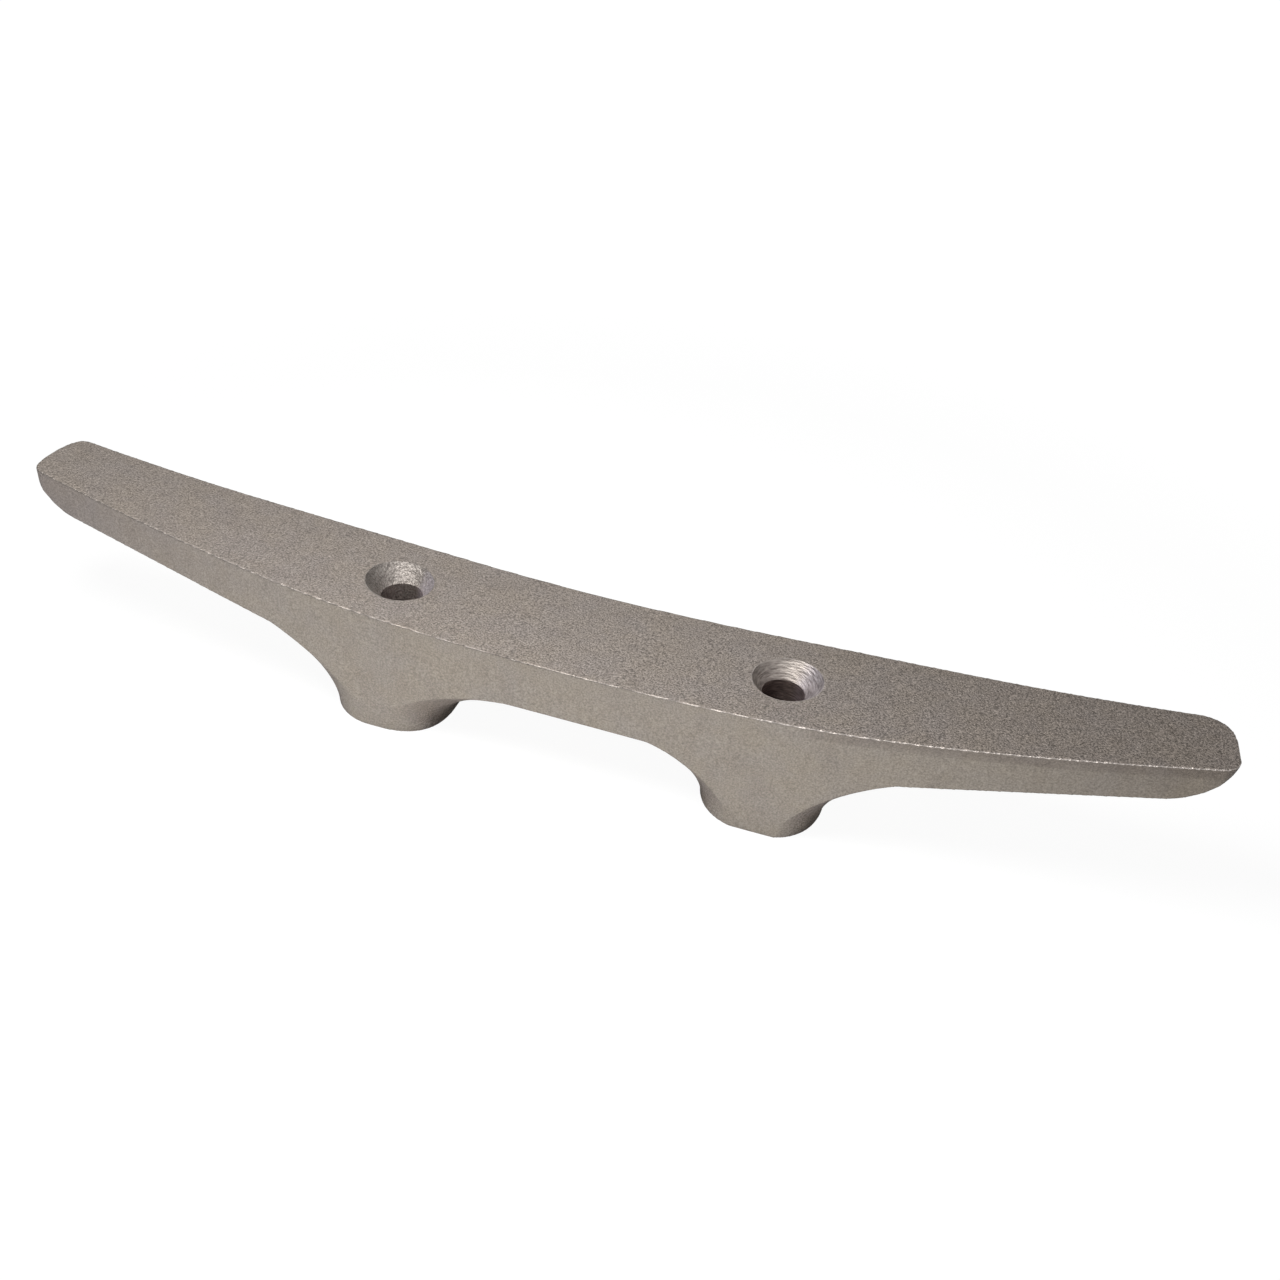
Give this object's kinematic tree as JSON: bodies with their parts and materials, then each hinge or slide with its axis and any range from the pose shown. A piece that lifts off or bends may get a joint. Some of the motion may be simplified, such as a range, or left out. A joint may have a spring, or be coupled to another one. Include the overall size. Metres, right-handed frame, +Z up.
{
  "type": "horn cleat",
  "caption": "One-piece cast aluminium horn cleat: a bowed, tapered bar with a hollow top face on drilled, countersunk oval legs.",
  "frame": {"origin": "on the deck, midway between the two feet", "axes": "+X along the bar from horn to horn, +Z up out of the deck, +Y across the bar"},
  "size_m": [0.254, 0.0296, 0.0414],
  "materials": {
    "cast_aluminium": "as cast and tumbled, matt and finely grained, with machined countersinks"
  },
  "bodies": {
    "root": {"horn_casting": "cast_aluminium"}
  },
  "joints": []
}
